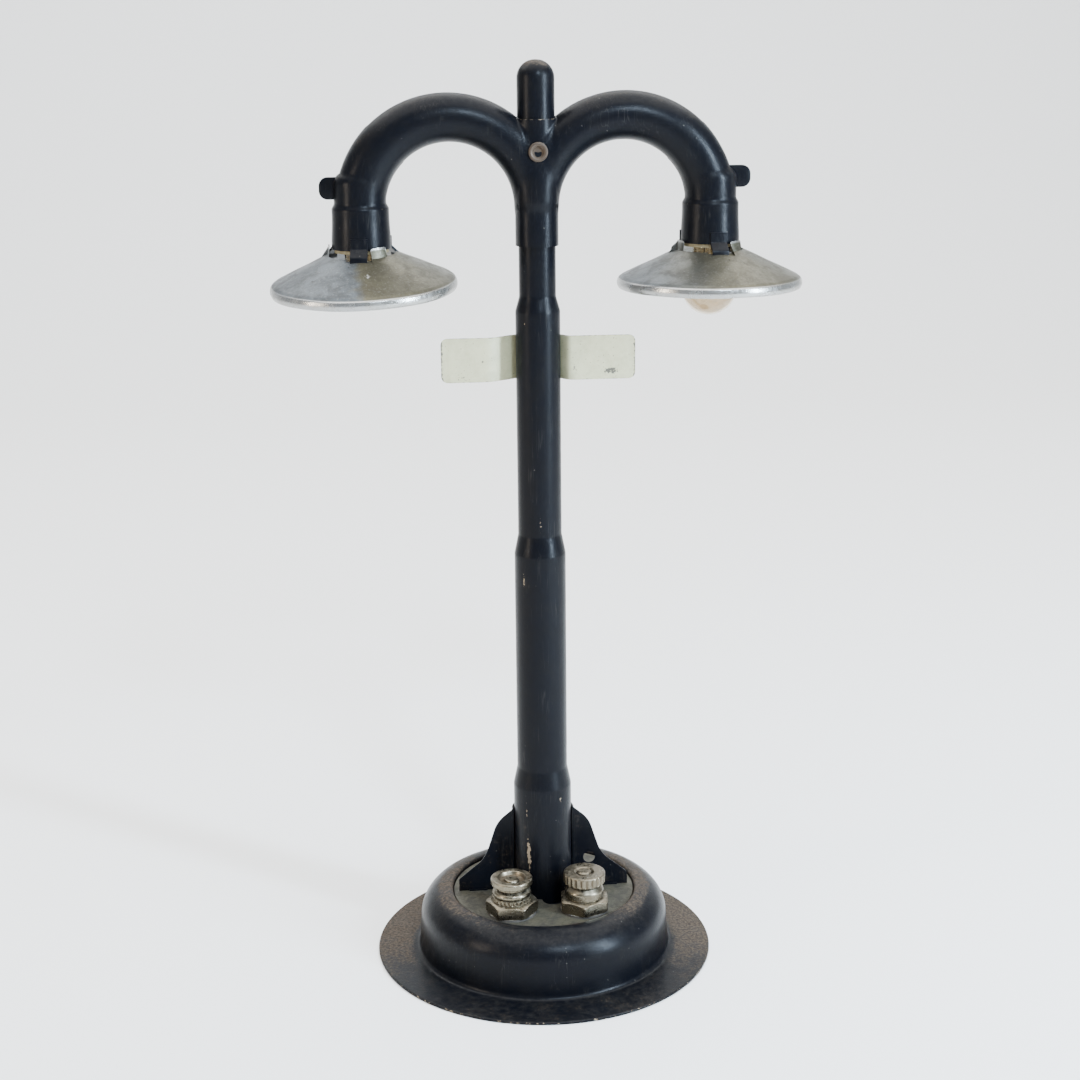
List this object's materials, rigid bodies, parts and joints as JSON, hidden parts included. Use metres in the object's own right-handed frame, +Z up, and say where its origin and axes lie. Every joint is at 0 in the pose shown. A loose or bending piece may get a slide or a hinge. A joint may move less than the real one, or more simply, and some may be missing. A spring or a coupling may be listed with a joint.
{
  "type": "street lamp post",
  "caption": "Miniature twin-arm street lamp post: stamped round base with binding posts, swaged tube, street sign and curved arms carrying bulbs under conical tin shades.",
  "frame": {"origin": "middle of the underside of the base flange", "axes": "+Z up the pole, -Y is the front with the terminals, +X to the right of someone facing the front"},
  "size_m": [0.1375, 0.0938, 0.244],
  "materials": {
    "black_enamel": "semi-gloss blue-black stoving enamel, finely crackled and worn at the edges",
    "tin_plate": "tinned steel, mottled with age, bright at the rim",
    "nickel_plate": "dull nickel plate with warm tarnish",
    "brass": "plain brass, tarnished",
    "fibre": "grey-olive vulcanised fibre",
    "dark_fibre": "dark insulating fibre",
    "olive_liner": "olive-brown moulded insulating paper",
    "cream_enamel": "cream stoving enamel with dark specks",
    "bulb_glass": "clear glass, slightly ambered",
    "dark_glass": "black fused glass insulator",
    "bead_glass": "pressed glass bead",
    "filament_wire": "tungsten and nickel wire",
    "solder": "dull tin-lead solder",
    "spring_bronze": "phosphor bronze strip",
    "wire_cover": "waxed cotton wire covering",
    "eyelet_brass": "browned brass eyelet"
  },
  "bodies": {
    "root": {"base_shell": "black_enamel", "terminal_plate": "fibre", "foot_bracket": "black_enamel", "bracket_rivets": "black_enamel", "pole_tube": "black_enamel", "street_sign": "cream_enamel", "sign_rivet": "nickel_plate", "head_front_shell": "black_enamel", "head_back_shell": "black_enamel", "head_eyelet": "eyelet_brass", "left_socket_liner": "olive_liner", "left_socket_shell": "brass", "left_socket_disc": "dark_fibre", "left_contact_leaf": "spring_bronze", "left_contact_rivet": "brass", "left_stud": "nickel_plate", "left_lug": "brass", "left_lower_washer": "dark_fibre", "left_insulator": "dark_fibre", "left_hex_nut": "nickel_plate", "left_clamp_nut": "nickel_plate", "left_lamp_wire": "wire_cover", "right_socket_liner": "olive_liner", "right_socket_shell": "brass", "right_socket_disc": "dark_fibre", "right_contact_leaf": "spring_bronze", "right_contact_rivet": "brass", "right_stud": "nickel_plate", "right_lug": "brass", "right_lower_washer": "dark_fibre", "right_insulator": "dark_fibre", "right_hex_nut": "nickel_plate", "right_clamp_nut": "nickel_plate", "right_lamp_wire": "wire_cover", "ground_wire": "wire_cover"},
    "left_shade": {"left_shade": "tin_plate"},
    "left_bulb_carrier": {"left_bulb_tip": "solder", "left_bulb_insulator": "dark_glass"},
    "left_bulb": {"left_bulb_glass": "bulb_glass", "left_bulb_base": "brass", "left_bulb_bead": "bead_glass", "left_bulb_filament": "filament_wire"},
    "left_wire_washer": {"left_wire_washer": "nickel_plate"},
    "left_thumb_nut": {"left_thumb_nut": "nickel_plate"},
    "right_shade": {"right_shade": "tin_plate"},
    "right_bulb_carrier": {"right_bulb_tip": "solder", "right_bulb_insulator": "dark_glass"},
    "right_bulb": {"right_bulb_glass": "bulb_glass", "right_bulb_base": "brass", "right_bulb_bead": "bead_glass", "right_bulb_filament": "filament_wire"},
    "right_wire_washer": {"right_wire_washer": "nickel_plate"},
    "right_thumb_nut": {"right_thumb_nut": "nickel_plate"}
  },
  "joints": [
    {"name": "left_shade_turn", "type": "hinge", "parent": "root", "child": "left_shade", "pos_m": [-0.045, 0, 0.1963], "axis": [-0.0332, -0.0767, 0.9965], "range_deg": [-5, 5]},
    {"name": "left_bulb_travel", "type": "slide", "parent": "root", "child": "left_bulb_carrier", "axis": [0, 0, -1], "range_m": [0, 0.00816]},
    {"name": "left_bulb_unscrew", "type": "hinge", "parent": "left_bulb_carrier", "child": "left_bulb", "pos_m": [-0.045, 0, 0.19], "axis": [0, 0, -1], "range_deg": [0, 1620]},
    {"name": "left_washer_lift", "type": "slide", "parent": "root", "child": "left_wire_washer", "axis": [0, 0, 1], "range_m": [0, 0.00159]},
    {"name": "left_thumb_nut_turn", "type": "hinge", "parent": "left_wire_washer", "child": "left_thumb_nut", "pos_m": [-0.01, -0.0145, 0.026], "axis": [0, 0, 1], "range_deg": [0, 720]},
    {"name": "right_shade_turn", "type": "hinge", "parent": "root", "child": "right_shade", "pos_m": [0.045, 0, 0.1957], "axis": [0, 0, 1], "range_deg": [-5, 5]},
    {"name": "right_bulb_travel", "type": "slide", "parent": "root", "child": "right_bulb_carrier", "axis": [0, 0, -1], "range_m": [0, 0.00816]},
    {"name": "right_bulb_unscrew", "type": "hinge", "parent": "right_bulb_carrier", "child": "right_bulb", "pos_m": [0.045, 0, 0.19], "axis": [0, 0, -1], "range_deg": [0, 1620]},
    {"name": "right_washer_lift", "type": "slide", "parent": "root", "child": "right_wire_washer", "axis": [0, 0, 1], "range_m": [0, 0.00278]},
    {"name": "right_thumb_nut_turn", "type": "hinge", "parent": "right_wire_washer", "child": "right_thumb_nut", "pos_m": [0.01, -0.0145, 0.026], "axis": [0, 0, 1], "range_deg": [0, 1260]}
  ],
  "couplings": [
    {"joint": "left_bulb_unscrew", "follows": "left_bulb_travel", "rad_per_m": 3463.1},
    {"joint": "left_thumb_nut_turn", "follows": "left_washer_lift", "rad_per_m": 7915.8},
    {"joint": "right_bulb_unscrew", "follows": "right_bulb_travel", "rad_per_m": 3463.1},
    {"joint": "right_thumb_nut_turn", "follows": "right_washer_lift", "rad_per_m": 7915.8}
  ]
}
